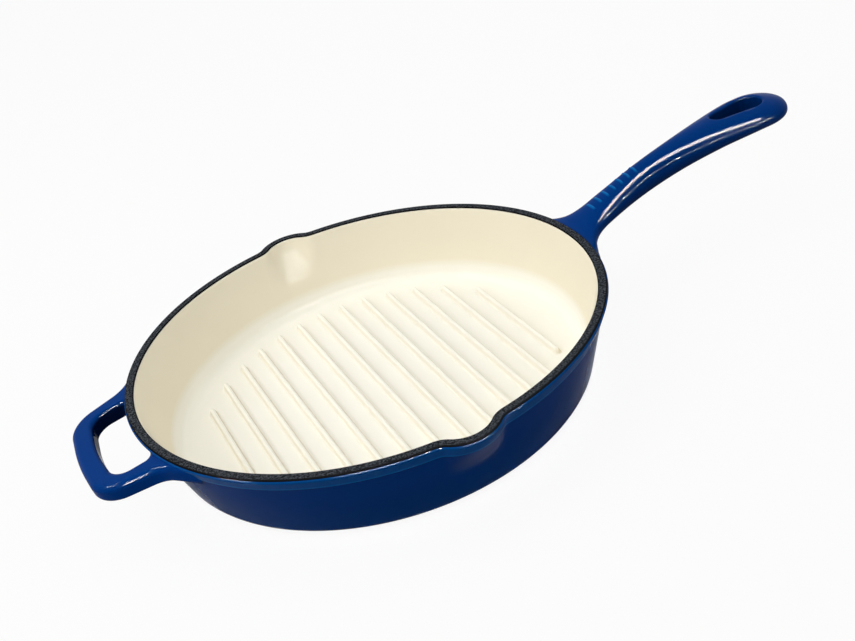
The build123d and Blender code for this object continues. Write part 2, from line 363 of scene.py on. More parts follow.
def lip_growth(level, bowl):
    """How far out a lip has come at a level, from 0 to 1."""
    share = (level - bowl.rim_height + bowl.lip_depth) / bowl.lip_depth / bowl.lip_full_share
    share = min(max(share, 0.0), 1.0)
    return share * share * (3 - 2 * share)


def turned_rows(profile, bowl):
    """A profile of (radius, level, inset) turned about the axis, with the lips pushed out."""
    coarse, fine, lip_span = 1.5, 0.4, 12.0
    quarter = [0.0]
    while quarter[-1] < 90.0:
        near_lip = quarter[-1] >= 90.0 - lip_span
        quarter.append(min(quarter[-1] + (fine if near_lip else coarse), 90.0))
    half = quarter + [180.0 - a for a in quarter[-2::-1]]
    angles = [math.radians(a) for a in half + [360.0 - a for a in half[-2:0:-1]]]
    rows = []
    for angle in angles:
        row = []
        for radius, level, inset in profile:
            bulge = outline_radius(angle, bowl, inset) - (bowl.rim_radius - inset)
            out = radius + bulge * lip_growth(level, bowl)
            row.append((out * math.cos(angle), out * math.sin(angle), level))
        rows.append(row)
    return rows


def wall_line(bowl):
    """Radius of the wall's outer face at the base, and its slope."""
    return bowl.rim_radius - bowl.wall_flare, (bowl.wall_flare - bowl.belt_proud) / bowl.rim_height


def wall_middle(level, bowl):
    """Radius of the middle of the wall's thickness at a level."""
    foot, slope = wall_line(bowl)
    return foot + slope * level - bowl.wall_thickness / 2


def corner_arc(foot_radius, level, slope, radius, steps):
    """The rounded corner between a level floor and a wall that leans out by slope."""
    turn = math.pi / 2 - math.atan(slope)
    centre = foot_radius - radius * math.tan(turn / 2)
    return arc((centre, level + radius), radius, -90, -90 + math.degrees(turn), steps)


def base_corner_points(bowl):
    """The corner under the wall, from the flat base up."""
    foot, slope = wall_line(bowl)
    return corner_arc(foot, 0, slope, bowl.base_corner, steps=24)


def inner_wall_line(bowl):
    """Radius of the hollow's wall at the floor's level, and its slope."""
    foot, slope = wall_line(bowl)
    floor_radius = foot + slope * bowl.floor_thickness - bowl.wall_thickness
    rise = bowl.rim_height - bowl.floor_thickness
    return floor_radius, (bowl.rim_radius - bowl.rim_width - floor_radius) / rise


def outside_profile(bowl):
    """The blue wall from the bare base up to the bare rim."""
    foot, slope = wall_line(bowl)
    corner = [point for point in base_corner_points(bowl) if point[1] > bowl.base_bare]
    belt_bottom = bowl.rim_height - bowl.belt_depth
    levels = between(corner[-1][1], belt_bottom - 2 * bowl.belt_round, steps=40)[1:]
    wall = [(foot + slope * level, level) for level in levels]
    # The belt's lower edge: a hollow round against the wall, and then a full round, both a
    # little under the belt's own rounding so that they fit under each other.
    small_share = 0.7
    wall_edge = foot + slope * belt_bottom
    belt_edge = wall_edge + bowl.belt_proud
    small = bowl.belt_round * small_share
    step = arc((wall_edge + small, belt_bottom - small), small, 180, 90, steps=4)
    edge = arc((belt_edge - small, belt_bottom + small), small, -90, 0, steps=5)
    # Its upper edge turns in by most of a quarter round, and ends where the bare rim begins.
    shoulder_turn, rise_share = 70, 0.9
    out, up = edge[-1]
    border = bowl.rim_height - bowl.rim_wrap - bowl.shoulder * rise_share
    lean = (bowl.rim_radius - out) / (border - up)
    belt = [(out + lean * (level - up), level) for level in between(up, border, steps=5)[1:-1]]
    centre = (bowl.rim_radius - bowl.shoulder, border)
    shoulder = arc(centre, bowl.shoulder, 0, shoulder_turn, steps=7)
    return [(r, z, 0.0) for r, z in corner + wall + step + edge + belt + shoulder]


def rim_profile(bowl):
    """The bare rim, over its outer edge, its face and its inner edge."""
    top, out, inn = bowl.rim_height, bowl.rim_round, bowl.rim_inner_round
    outer, inner = bowl.rim_radius - bowl.rim_inset, bowl.rim_radius - bowl.rim_width
    # It starts a little way down behind the belt's shoulder.
    tuck_share = 0.3
    points = [(outer, top - bowl.rim_wrap - bowl.shoulder * tuck_share)]
    points += arc((outer - out, top - out), out, 0, 90, steps=8)
    points += [(radius, top) for radius in between(outer - out, inner + inn, steps=6)[1:-1]]
    points += arc((inner + inn, top - inn), inn, 90, 180, steps=6)
    points += [(inner, top - bowl.rim_inner_wrap)]
    return [(r, z, bowl.rim_radius - r) for r, z in points]


def inside_profile(bowl):
    """The cream hollow, from the bare rim down the wall to the middle of the floor."""
    floor_radius, slope = inner_wall_line(bowl)
    level = bowl.floor_thickness
    corner = corner_arc(floor_radius, level, slope, bowl.floor_corner, steps=14)[::-1]
    border = bowl.rim_height - bowl.rim_inner_wrap
    inner = bowl.rim_radius - bowl.rim_width
    levels = between(border, corner[0][1], steps=44)[1:-1]
    wall = [(inner, border)] + [(inner - slope * (bowl.rim_height - z), z) for z in levels]
    floor_edge, floor_level = corner[-1]
    floor = [(radius, floor_level) for radius in between(floor_edge, 0.0, steps=12)[1:]]
    return [(r, z, bowl.rim_width) for r, z in wall + corner + floor]


# Finishes. Each maker adds the nodes of the material that it is named for.


def add_node(tree, kind, inputs=(), **settings):
    """Adds a node with its settings. Each of its inputs is a value or another node's socket."""
    node = tree.nodes.new(kind)
    for name, value in settings.items():
        setattr(node, name, value)
    for name, value in dict(inputs).items():
        if isinstance(value, bpy.types.NodeSocket):
            tree.links.new(value, node.inputs[name])
        else:
            node.inputs[name].default_value = value
    return node


def drifting_colour(tree, first, second, drift, levels, most, length, detail):
    """A colour that goes over to a second one up the piece, and drifts a little along it."""
    place = add_node(tree, "ShaderNodeTexCoord").outputs["Object"]
    height = add_node(tree, "ShaderNodeSeparateXYZ", {"Vector": place}).outputs["Z"]
    low, high = levels
    climb = add_node(
        tree,
        "ShaderNodeMapRange",
        {"Value": height, "From Min": low, "From Max": high, "To Min": 0.0, "To Max": most},
    )
    noise = add_node(
        tree, "ShaderNodeTexNoise", {"Vector": place, "Scale": 1 / length, "Detail": detail}
    )
    amount = add_node(
        tree,
        "ShaderNodeMath",
        {0: noise.outputs["Fac"], 1: drift, 2: climb.outputs["Result"]},
        operation="MULTIPLY_ADD",
    )
    mix = {"Factor": amount.outputs["Value"], "A": first, "B": second}
    return add_node(tree, "ShaderNodeMix", mix, data_type="RGBA").outputs["Result"]


def laid_over(tree, base, mark, colour):
    """A base colour with another over it, as far as mark_points marked the mesh for it."""
    share = add_node(tree, "ShaderNodeAttribute", attribute_name=mark)
    mix = {"Factor": share.outputs["Fac"], "A": base, "B": colour}
    return add_node(tree, "ShaderNodeMix", mix, data_type="RGBA").outputs["Result"]


def end_in_coat(tree, colour, relief, strength, depth, roughness, specular):
    """Ends a tree in a coat of enamel, with the fine relief of its surface and its gloss."""
    bump = add_node(
        tree,
        "ShaderNodeBump",
        {"Height": relief.outputs["Fac"], "Strength": strength, "Distance": depth},
    )
    coat = add_node(
        tree,
        "ShaderNodeBsdfPrincipled",
        {
            "Base Color": colour,
            "Normal": bump.outputs["Normal"],
            "Roughness": roughness,
            "IOR": 1.5,
            "Specular IOR Level": specular,
        },
    )
    add_node(tree, "ShaderNodeOutputMaterial", {"Surface": coat.outputs["BSDF"]})


def cobalt_vitreous_enamel(tree):
    """Cobalt vitreous enamel, sprayed on and fired: deep gloss, darker towards the base, with
    painted shade and painted highlight.
    """
    finish = bpy.context.scene.grill_finish
    # The sprayed coat's colour drifts over some 30 mm, and it is darker towards the base.
    even = drifting_colour(
        tree,
        finish.blue_deep,
        finish.blue,
        drift=0.25,
        levels=(4 * MM, 34 * MM),
        most=0.8,
        length=30 * MM,
        detail=3.0,
    )
    # Painted shade: darker in the corner under the belt, inside both holes and under the long
    # handle.
    shaded = laid_over(tree, even, "painted_shade", finish.blue_shade)
    # Lighter as painted highlight on the belt's edge and a little over the belt, and over the
    # ridges of the neck, where the coat breaks thin, partly as painted highlight.
    thin_and_light = laid_over(tree, shaded, "thin_coat_and_light", finish.blue_thin_and_highlight)
    # Fired enamel keeps a faint orange-peel wave, about 6 mm long.
    place = add_node(tree, "ShaderNodeTexCoord").outputs["Object"]
    wave = add_node(
        tree, "ShaderNodeTexNoise", {"Vector": place, "Scale": 1 / (6 * MM), "Detail": 2.0}
    )
    # Real enamel has a specular level of 0.5. The white surroundings would then haze the deep
    # blue, so it is far lower here, and the studio's bright cards give the gloss.
    end_in_coat(
        tree, thin_and_light, wave, strength=0.06, depth=0.05 * MM, roughness=0.05, specular=0.014
    )


def cream_vitreous_enamel(tree):
    """Cream vitreous enamel, poured and fired: even and glossy, with painted shade up the wall and
    down the ribs' sides.
    """
    finish = bpy.context.scene.grill_finish
    # Painted shade: the wall is a deeper cream than the floor. The colour drifts over some 25 mm.
    even = drifting_colour(
        tree,
        finish.cream,
        finish.cream_wall_shade,
        drift=0.15,
        levels=(12 * MM, 17 * MM),
        most=0.85,
        length=25 * MM,
        detail=2.0,
    )
    # Painted shade down the sides of the ribs, most on their +X side.
    thin_and_light = laid_over(tree, even, "thin_coat_and_light", finish.cream_rib_shade)
    # It waves a little more than the sprayed coat, about 7 mm long.
    place = add_node(tree, "ShaderNodeTexCoord").outputs["Object"]
    wave = add_node(
        tree, "ShaderNodeTexNoise", {"Vector": place, "Scale": 1 / (7 * MM), "Detail": 2.0}
    )
    # The specular level is low for the same reason as the blue's.
    end_in_coat(
        tree, thin_and_light, wave, strength=0.3, depth=0.06 * MM, roughness=0.08, specular=0.0025
    )


def charcoal_ground_coat(tree):
    """Charcoal ground coat on sand-cast iron, fired and left bare: matt, with a fine grain."""
    finish = bpy.context.scene.grill_finish
    # Sand grain of the casting, 0.4 mm in the iron, drawn at 1 mm so that it shows.
    place = add_node(tree, "ShaderNodeTexCoord").outputs["Object"]
    grain_scale, pits_below, face_above = 1 / (1.0 * MM), 0.44, 0.6
    grain = add_node(
        tree,
        "ShaderNodeTexNoise",
        {"Vector": place, "Scale": grain_scale, "Detail": 4.0, "Roughness": 0.7},
    )
    pits = add_node(
        tree,
        "ShaderNodeMapRange",
        {"Value": grain.outputs["Fac"], "From Min": pits_below, "From Max": face_above},
    )
    colour = add_node(
        tree,
        "ShaderNodeMix",
        {"Factor": pits.outputs["Result"], "A": finish.charcoal_deep, "B": finish.charcoal},
        data_type="RGBA",
    )
    # The rim's flat face is grey, and its rounded edges are black.
    face = laid_over(tree, colour.outputs["Result"], "black_edge", finish.charcoal_edge)
    # The specular level is low because the studio's cards would whiten so rough a coat.
    end_in_coat(tree, face, grain, strength=0.6, depth=0.1 * MM, roughness=0.8, specular=0.002)


def white_paper_sweep(tree):
    """White paper under the pan, that keeps a trace of its shadow and reads as white."""
    camera_ray, seen = seen_rays(tree)
    # Plain grey paper to the pan, and white to the eye and in reflections.
    tone = add_node(
        tree,
        "ShaderNodeMix",
        {"Factor": seen, "A": linear("#9a9a9a"), "B": linear("#d8d8d8")},
        data_type="RGBA",
    )
    paper = add_node(tree, "ShaderNodeBsdfDiffuse", {"Color": tone.outputs["Result"]})
    # The eye sees the most of it as an even white glow.
    glow_share = 0.93
    glow = add_node(tree, "ShaderNodeEmission", {"Color": linear("#ffffff"), "Strength": 1.0})
    share = add_node(tree, "ShaderNodeMath", {0: camera_ray, 1: glow_share}, operation="MULTIPLY")
    mix = add_node(
        tree,
        "ShaderNodeMixShader",
        {0: share.outputs["Value"], 1: paper.outputs["BSDF"], 2: glow.outputs["Emission"]},
    )
    add_node(tree, "ShaderNodeOutputMaterial", {"Surface": mix.outputs["Shader"]})


def seen_rays(tree):
    """Two factors: 1 for camera rays, and 1 for all rays that show the background to the eye."""
    path = add_node(tree, "ShaderNodeLightPath")
    camera_ray = seen = path.outputs["Is Camera Ray"]
    for kind in ("Is Glossy Ray", "Is Transmission Ray"):
        inputs = {0: seen, 1: path.outputs[kind]}
        seen = add_node(tree, "ShaderNodeMath", inputs, operation="MAXIMUM").outputs["Value"]
    return camera_ray, seen


def finish_for(maker):
    """The material whose nodes a maker adds, named after it and made once."""
    material = bpy.data.materials.get(maker.__name__)
    if not material:
        material = bpy.data.materials.new(maker.__name__)
        material.use_nodes = True
        material.node_tree.nodes.clear()
        maker(material.node_tree)
    return material


# Operators.


class GRILL_OT_outside(bpy.types.Operator):
    """Add the blue outside coat of the bowl, with its belt and the outside of its lips"""

    bl_idname = "grill.add_outside"
    bl_label = "Outside Coat"

    def execute(self, context):
        bowl = context.scene.grill_bowl
        mesh = turned_mesh("outside_coat", outside_profile(bowl), bowl)
        edge = bowl.rim_height - bowl.belt_depth
        # Painted shade just under the belt's edge.
        mark_points(mesh, "painted_shade", lambda point: self.painted_shade_share(point.z - edge))
        # Painted highlight on the belt's edge and a little over the belt.
        mark_points(mesh, "thin_coat_and_light", lambda point: self.thin_coat_and_light_share(point.z - edge))
        nodes = ["exterior_enamel"]
        add_piece(mesh, cobalt_vitreous_enamel, nodes, bowl.coat)
        return {"FINISHED"}

    def painted_shade_share(self, above):
        """Painted shade at a height above the belt's edge: darkest just under it."""
        pool_height = 1.2 * MM
        return max(1.0 + above / pool_height, 0.0) if above < 0 else 0.0

    def thin_coat_and_light_share(self, above):
        """Painted highlight there: most on the belt's edge, and a little over the belt."""
        edge_height, on_edge, on_belt = 0.8 * MM, 0.75, 0.28
        if above < 0:
            return 0.0
        return on_edge if above < edge_height else on_belt


class GRILL_OT_inside(bpy.types.Operator):
    """Add the cream inside coat of the bowl, with the hollows of its lips"""

    bl_idname = "grill.add_inside"
    bl_label = "Inside Coat"

    def execute(self, context):
        bowl = context.scene.grill_bowl
        mesh = turned_mesh("inside_coat", inside_profile(bowl), bowl)
        nodes = ["interior_enamel"]
        add_piece(mesh, cream_vitreous_enamel, nodes, bowl.coat)
        return {"FINISHED"}


class GRILL_OT_rim(bpy.types.Operator):
    """Add the bare iron of the rim and of the base"""

    bl_idname = "grill.add_rim"
    bl_label = "Rim and Base"

    def execute(self, context):
        bowl = context.scene.grill_bowl
        rim = turned_mesh("rim", rim_profile(bowl), bowl)
        full_below = 0.15 * MM
        mark_points(
            rim, "black_edge", lambda point: min((bowl.rim_height - point.z) / full_below, 1.0)
        )
        base = turned_mesh("base", self.base_profile(bowl), bowl)
        for mesh, nodes in ((rim, ["pan_body"]), (base, [])):
            add_piece(mesh, charcoal_ground_coat, nodes, bowl.coat)
        return {"FINISHED"}

    def base_profile(self, bowl):
        """The bare base, from its middle up to the first point of the blue coat."""
        points = base_corner_points(bowl)
        corner = [point for point in points if point[1] <= bowl.base_bare]
        flat = [(radius, 0.0) for radius in between(0.0, corner[0][0], steps=6)[:-1]]
        return [(r, z, 0.0) for r, z in flat + corner + [points[len(corner)]]]


class GRILL_OT_ribs(bpy.types.Operator):
    """Add the cream ribs across the floor"""

    bl_idname = "grill.add_ribs"
    bl_label = "Ribs"

    def execute(self, context):
        bowl = context.scene.grill_bowl
        half_profile = self.half_profile(bowl)
        foot = half_profile[0][0]
        field = inner_wall_line(bowl)[0] - bowl.rib_margin
        end_steps = 14
        bm = bmesh.new()
        for number in range(-bowl.ribs_a_side, bowl.ribs_a_side + 1):
            middle = number * bowl.rib_pitch
            straight = math.sqrt(field**2 - middle**2) - foot
            rows = []
            for side, first in ((1, 0), (-1, math.pi)):
                for step in range(end_steps + 1):
                    turn = math.pi * step / end_steps + first
                    row = []
                    for out, height in half_profile:
                        x, y = middle + out * math.cos(turn), side * straight + out * math.sin(turn)
                        row.append(bm.verts.new((x, y, bowl.floor_thickness + height)))
                    rows.append(row)
            add_skin(bm, rows + rows[:1])
            bm.faces.new([row[0] for row in rows])
        mesh = finished_mesh("ribs", bm, closed=True)
        # Painted shade down the ribs' sides, most on their +X side.
        mark_points(mesh, "thin_coat_and_light", lambda point: self.thin_coat_and_light_share(point, bowl))
        add_piece(mesh, cream_vitreous_enamel, ["grill_ribs"])
        return {"FINISHED"}

    def half_profile(self, bowl):
        """Half a rib's section, from under the floor's coat to its crest: (from middle, height)."""
        crest, foot, lean = bowl.rib_crest, bowl.rib_foot, bowl.rib_draft
        side_out = crest * math.cos(lean)
        side_up = bowl.rib_height - crest + crest * math.sin(lean)
        out = side_out + (foot - (foot - side_up) * math.sin(lean)) / math.cos(lean)
        sunk = (out, -bowl.coat / 2)
        hollow = arc((out, foot), foot, -90, -180 + math.degrees(lean), steps=6)
        top = arc((0, bowl.rib_height - crest), crest, math.degrees(lean), 90, steps=10)
        return [sunk] + hollow + top[:-1] + [(0.0, bowl.rib_height)]

    def thin_coat_and_light_share(self, point, bowl):
        """How much painted shade a rib gets: most a little below half height, and less on the -X
        side.
        """
        shade_peak, reach, far_side = 0.4, 0.45, 0.4
        up = (point.z - bowl.floor_thickness) / bowl.rib_height
        across = point.x / bowl.rib_pitch
        side = 1.0 if across > round(across) else far_side
        return side * max(1.0 - abs(up - shade_peak) / reach, 0.0) ** 0.5


class GRILL_OT_long_handle(bpy.types.Operator):
    """Add the long handle with its flared root, its cross ridges and its hanging hole"""

    bl_idname = "grill.add_long_handle"
    bl_label = "Long Handle"

    def execute(self, context):
        self.bowl, self.handle = context.scene.grill_bowl, context.scene.grill_handle
        self.stations = self.section_sizes()
        places = self.places()
        # The root's end, inside the wall, is closed by a flat cap.
        cap = [(places[0], share) for share in between(0, 1, steps=12)[:-1]]
        around = 64
        bm = bmesh.new()
        rings = []
        for x, share in cap + [(x, 1.0) for x in places]:
            half_width, middle, half_height = self.section(x)
            ring = []
            for step in range(around):
                turn = 2 * math.pi * step / around
                y, z = self.oval(half_width, half_height * share, turn)
                point = self.outside_wall((x, y, middle + z + self.ridge(x, y, z)))
                ring.append(bm.verts.new(point))
            rings.append(ring)
        add_tube(bm, rings)
        mesh = finished_mesh("long_handle_coat", bm, closed=True)
        piece = add_piece(mesh, cobalt_vitreous_enamel, ["long_handle"])
        self.cut_hole(piece)
        mark_points(piece.data, "thin_coat_and_light", self.thin_coat_and_light_share)
        mark_points(piece.data, "painted_shade", self.painted_shade_share)
        return {"FINISHED"}

    def places(self):
        """Where the sections stand along the handle, closest together over the ridges."""
        bowl, handle = self.bowl, self.handle
        ridged = bowl.rim_radius + handle.ridge_start - handle.ridge_pitch
        smooth = ridged + (handle.ridge_count + 1) * handle.ridge_pitch
        tip_start = bowl.rim_radius + handle.reach - handle.tip_length
        turns = between(0, math.pi / 2, steps=22)
        return (
            between(self.stations[0][0], ridged, steps=40)[:-1]
            + between(ridged, smooth, steps=160)[:-1]
            + between(smooth, tip_start, steps=60)[:-1]
            + [tip_start + handle.tip_length * math.sin(turn) for turn in turns]
        )

    def thin_coat_and_light_share(self, point):
        """How thin the coat lies: it breaks over the ridges, which are lighter partly as painted
        highlight.
        """
        x, y, z = point
        return self.ridge(x, y, z - self.section(x)[1]) / self.handle.ridge_proud

    def painted_shade_share(self, point):
        """Painted shade: inside the hanging hole and along the underside."""
        x, y, z = point
        underside = 0.95
        half_width, middle, half_height = self.section(x)
        skin = half_height * self.skin_share(min(abs(y) / max(half_width, MM), 1.0))
        inside = (skin - abs(z - middle)) / (2 * self.handle.hole_round)
        outside_bowl = x > self.bowl.rim_radius
        under = underside * (middle - z) / max(half_height, MM) if outside_bowl else 0.0
        return min(max(inside, under, 0.0), 1.0)

    def section_sizes(self):
        """Place, half width, top and thickness of the listed sections."""
        bowl, handle = self.bowl, self.handle
        low = bowl.rim_height - handle.root_drop
        return [
            (
                bowl.rim_radius + along * handle.reach,
                (handle.neck_width + width * (wide - handle.neck_width)) / 2,
                low + rise * (handle.rise + handle.root_drop),
                thin + thick * (handle.thickness - thin),
            )
            for table, wide, thin in (
                (ROOT_SHARES, handle.root_width, handle.root_thickness),
                (GRIP_SHARES, handle.paddle_width, 0.0),
            )
            for along, width, rise, thick in table
        ]

    def section(self, x):
        """Half width, middle level and half height of the handle's section at a place along it."""
        handle, rows = self.handle, self.stations
        n = max(i for i in range(len(rows) - 1) if rows[i][0] <= x or i == 0)
        near, far = rows[n], rows[n + 1]
        before, after = rows[max(n - 1, 0)], rows[min(n + 2, len(rows) - 1)]
        span = far[0] - near[0]
        t = (x - near[0]) / span
        values = []
        for k in (1, 2, 3):
            slope_near = (far[k] - before[k]) / (far[0] - before[0]) * span
            slope_far = (after[k] - near[k]) / (after[0] - near[0]) * span
            values.append(
                (2 * t**3 - 3 * t**2 + 1) * near[k]
                + (t**3 - 2 * t**2 + t) * slope_near
                + (3 * t**2 - 2 * t**3) * far[k]
                + (t**3 - t**2) * slope_far
            )
        half_width, top, thickness = values
        # Towards the tip the section closes, blunter in height than in width.
        width_power, height_power = 0.9, 0.62
        end = self.bowl.rim_radius + handle.reach
        out = max((x - end + handle.tip_length) / handle.tip_length, 0.0)
        left = math.sqrt(max(1 - out**2, 0.0))
        middle = top - thickness / 2 - handle.tip_drop * out**2
        return half_width * left**width_power, middle, thickness / 2 * left**height_power

    def oval(self, half_width, half_height, turn):
        """A point on a section's rounded outline."""
        power = 2 / self.handle.fullness
        c, s = math.cos(turn), math.sin(turn)
        return (
            half_width * math.copysign(abs(c) ** power, c),
            half_height * math.copysign(abs(s) ** power, s),
        )

    def skin_share(self, across):
        """Height of a section's outline over a place across it, as shares of its half sizes."""
        return (1 - across**self.handle.fullness) ** (1 / self.handle.fullness)

    def ridge(self, x, y, z):
        """Height of the cross ridges at a place on the top of the neck."""
        handle = self.handle
        if z <= 0:
            return 0.0
        along = x - self.bowl.rim_radius - handle.ridge_start
        number = min(max(round(along / handle.ridge_pitch), 0), handle.ridge_count - 1)
        off = abs(along - number * handle.ridge_pitch) / (handle.ridge_width / 2)
        side = abs(y) / (handle.ridge_length / 2)
        if off >= 1 or side >= 1:
            return 0.0
        # Each ridge runs out over the last quarter of its half length.
        end_slope = 4
        return handle.ridge_proud * (1 - off**2) ** 2 * min(1, end_slope * (1 - side))

    def outside_wall(self, point):
        """Moves a point of the root out of the hollow, into the thickness of the wall."""
        grow = max(wall_middle(point[2], self.bowl) / math.hypot(point[0], point[1]), 1.0)
        return (point[0] * grow, point[1] * grow, point[2])

    def cut_hole(self, piece):
        """Cuts the hanging hole, whose edges are rounded above and below."""
        handle = self.handle
        end = self.bowl.rim_radius + handle.reach
        wide_at = end - handle.hole_margin - handle.hole_wide
        narrow_at = end - handle.hole_margin - handle.hole_length + handle.hole_narrow
        tangent = math.acos((handle.hole_narrow - handle.hole_wide) / (wide_at - narrow_at))
        outline = []
        for centre, radius, start, stop in (
            (wide_at, handle.hole_wide, -tangent, tangent),
            (narrow_at, handle.hole_narrow, tangent, 2 * math.pi - tangent),
        ):
            for turn in between(start, stop, steps=40):
                outline.append((centre, radius, math.cos(turn), math.sin(turn)))
        # The cutter stands well clear of the handle above and below.
        clear = -6 * handle.hole_round
        levels = [(handle.hole_round, clear)] + edge_points(handle.hole_round)
        bm = bmesh.new()
        rings = []
        for way, bends in ((1, levels), (-1, levels[::-1])):
            for grow, depth in bends:
                ring = []
                for centre, radius, c, s in outline:
                    x, y = centre + (radius + grow) * c, (radius + grow) * s
                    half_width, middle, half_height = self.section(x)
                    skin = half_height * self.skin_share(abs(y) / half_width)
                    z = middle + way * (skin - depth)
                    ring.append(bm.verts.new((x, y, z)))
                rings.append(ring)
        add_tube(bm, rings)
        bm.faces.new(rings[0])
        bm.faces.new(rings[-1][::-1])
        mesh = finished_mesh("hole_cutter", bm, closed=True)
        cutter = new_object("hole_cutter", mesh)
        cut = piece.modifiers.new("Hanging hole", "BOOLEAN")
        cut.operation = "DIFFERENCE"
        cut.solver = "EXACT"
        cut.object = cutter
        bpy.context.view_layer.update()
        graph = bpy.context.evaluated_depsgraph_get()
        piece_cut = bpy.data.meshes.new_from_object(piece.evaluated_get(graph))
        piece.modifiers.clear()
        piece.data = piece_cut
        for polygon in piece_cut.polygons:
            polygon.use_smooth = True
        bpy.data.objects.remove(cutter)


class GRILL_OT_helper_handle(bpy.types.Operator):
    """Add the loop-shaped helper handle"""

    bl_idname = "grill.add_helper_handle"
    bl_label = "Helper Handle"

    def execute(self, context):
        bowl, helper = context.scene.grill_bowl, context.scene.grill_helper
        bm = bmesh.new()
        shaded = bm.verts.layers.float.new("painted_shade")
        borders = []
        for corners, rounding, sign in (
            (self.outer_corners(helper), helper.edge_round, 1),
            (self.hole_corners(bowl, helper), helper.hole_round, -1),
        ):
            levels = edge_points(rounding)
            levels += [(inset, helper.thickness - depth) for inset, depth in levels[::-1]]
            rings = []
            for inset, depth in levels:
                points = self.rounded_outline(corners, sign * inset)
                rings.append([bm.verts.new((*point, -depth)) for point in points])
                # Painted shade on the walls of the finger opening.
                for vert in rings[-1]:
                    vert[shaded] = min(depth / rounding, 1.0) if sign < 0 else 0.0
            add_tube(bm, rings)
            borders.append((rings[0], rings[-1]))
        for face_rings in zip(*borders):
            edges = [
                bm.edges.get(pair) for ring in face_rings for pair in zip(ring, ring[1:] + ring[:1])
            ]
            bmesh.ops.triangle_fill(bm, edges=edges, use_beauty=True)
        for vert in bm.verts:
            vert.co = self.placed(vert.co, bowl, helper)
        mesh = finished_mesh("helper_handle_coat", bm, closed=True)
        piece = add_piece(mesh, cobalt_vitreous_enamel, ["helper_handle"])
        # The large flat faces lead the shading, so that the filled top shows no folds.
        normals = piece.modifiers.new("Flat faces", "WEIGHTED_NORMAL")
        normals.weight = 90
        return {"FINISHED"}

    def outer_corners(self, helper):
        """The loop's outline, corner by corner: (out from the rim, across, corner radius)."""
        bow_radius, root_steps = 180 * MM, 16
        half = [
            (-helper.root_sink, helper.root_half_width, 0.0),
            (-helper.neck_back, helper.neck_half_width, -helper.flare_radius),
            (helper.reach - helper.end_bow, helper.end_half_width, helper.corner_radius),
        ]
        outline = self.both_sides(half, (helper.reach + helper.end_bow, 0.0, bow_radius))
        # The root's end has more points, because it is bent along the bowl's wall.
        for n in range(1, root_steps):
            across = helper.root_half_width * (1 - 2 * n / root_steps)
            outline.append((-helper.root_sink, across, 0.0))
        return outline

    def hole_corners(self, bowl, helper):
        """The finger opening's outline, whose inner side runs close to the bowl's wall."""
        wall_gap, bow_radius, inner_corner = 0.6 * MM, 110 * MM, helper.hole_corner * 0.5
        sag = bowl.rim_radius - math.sqrt(bowl.rim_radius**2 - helper.hole_half_width**2)
        edge = helper.reach - helper.bar_width
        half = [
            (wall_gap - sag, helper.hole_half_width, inner_corner),
            (edge - helper.end_bow, helper.hole_half_width, helper.hole_corner),
        ]
        return self.both_sides(half, (edge + helper.end_bow, 0.0, bow_radius))

    def both_sides(self, half, middle):
        """The corners of one half mirrored, the middle one, and the half's own."""
        return [(out, -across, radius) for out, across, radius in half] + [middle] + half[::-1]

    def placed(self, point, bowl, helper):
        """A point of the flat drawing, with its face at height 0, in the pan's frame."""
        out, y, depth = point.x, point.y, -point.z
        cos, sin = math.cos(helper.lean), math.sin(helper.lean)
        x = -bowl.rim_radius - out * cos + depth * sin
        z = bowl.rim_height - helper.drop - out * sin - depth * cos
        grow = max(wall_middle(z, bowl) / math.hypot(x, y), 1.0)
        return (x * grow, y * grow, z)

    def rounded_outline(self, corners, inset):
        """An outline's points, moved in by inset. A negative radius is a hollow corner."""
        corner_steps = 12
        points = []
        for n, (*_, drawn_radius) in enumerate(corners):
            before, here, after = (Vector(corners[(n + k) % len(corners)][:2]) for k in (-1, 0, 1))
            if not drawn_radius:
                points.append(tuple(here))
                continue
            way_in, way_out = (here - before).normalized(), (after - here).normalized()
            left_in, left_out = Vector((-way_in.y, way_in.x)), Vector((-way_out.y, way_out.x))
            half = way_in.angle(way_out) / 2
            corner = here + (left_in + left_out).normalized() * (inset / math.cos(half))
            radius = abs(drawn_radius) - math.copysign(inset, drawn_radius)
            start = corner - way_in * (radius * math.tan(half))
            side = math.copysign(1.0, way_in.cross(way_out))
            centre = start + left_in * (side * radius)
            for step in range(corner_steps + 1):
                turn = Matrix.Rotation(side * 2 * half * step / corner_steps, 2)
                points.append(tuple(centre + turn @ (start - centre)))
        return points


